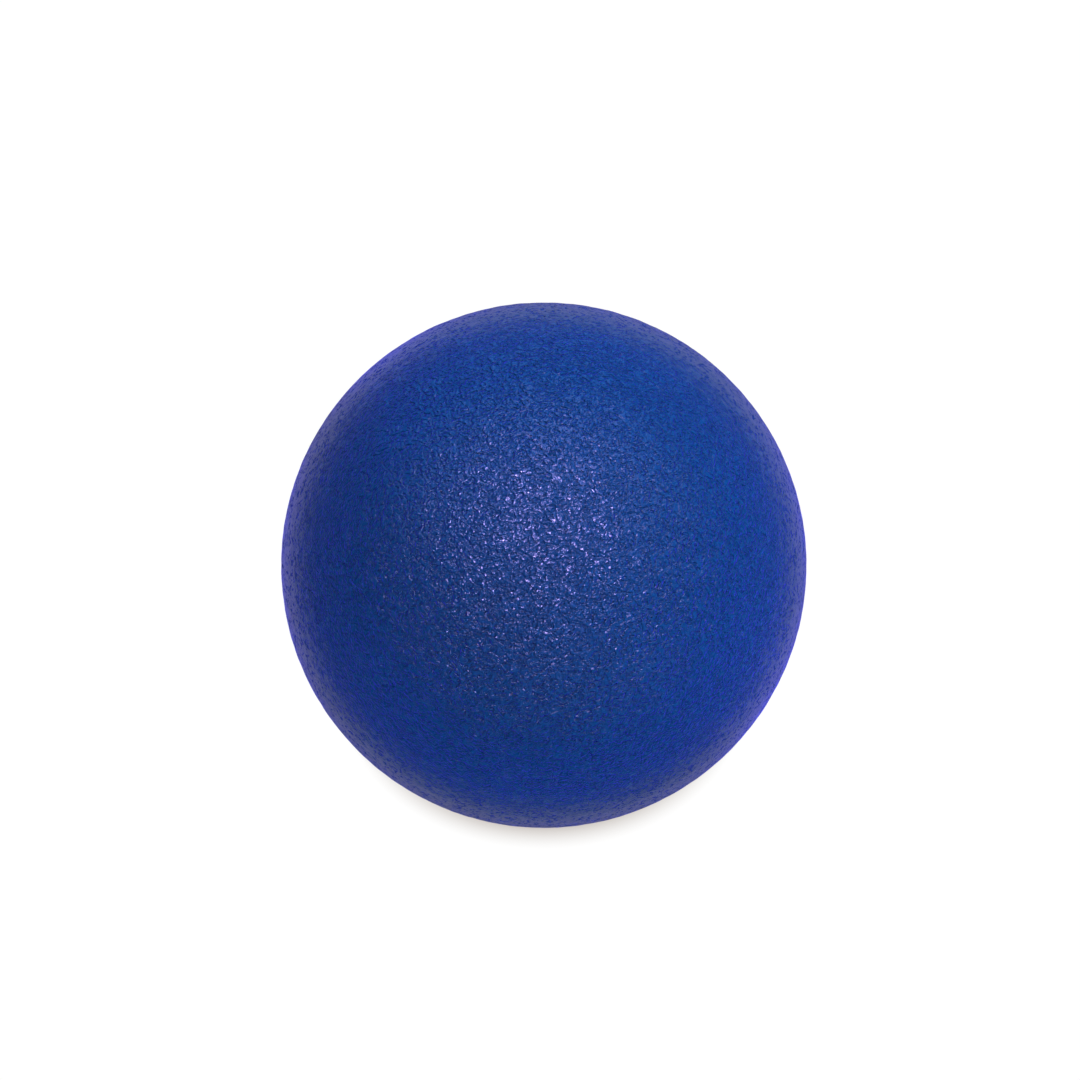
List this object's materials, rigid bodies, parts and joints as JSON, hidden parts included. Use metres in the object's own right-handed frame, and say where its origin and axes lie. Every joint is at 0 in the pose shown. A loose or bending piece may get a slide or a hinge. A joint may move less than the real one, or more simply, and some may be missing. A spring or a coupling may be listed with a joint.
{
  "type": "croquet ball",
  "caption": "Solid blue lawn-game ball with a finely pebbled hard cover moulded as two half shells round a dense cork-and-rubber core.",
  "frame": {"origin": "centre of the ball", "axes": "+Z through the poles of the two cover half shells, so that the parting plane is z = 0; +X and +Y are any two directions square to it"},
  "size_m": [0.092, 0.092, 0.092],
  "materials": {
    "cover": "moulded nylon, royal blue, finely pebbled, satin",
    "core": "compression-moulded cork granules in rubber, matt"
  },
  "bodies": {
    "root": {"upper_cover": "cover", "lower_cover": "cover", "core": "core"}
  },
  "joints": []
}
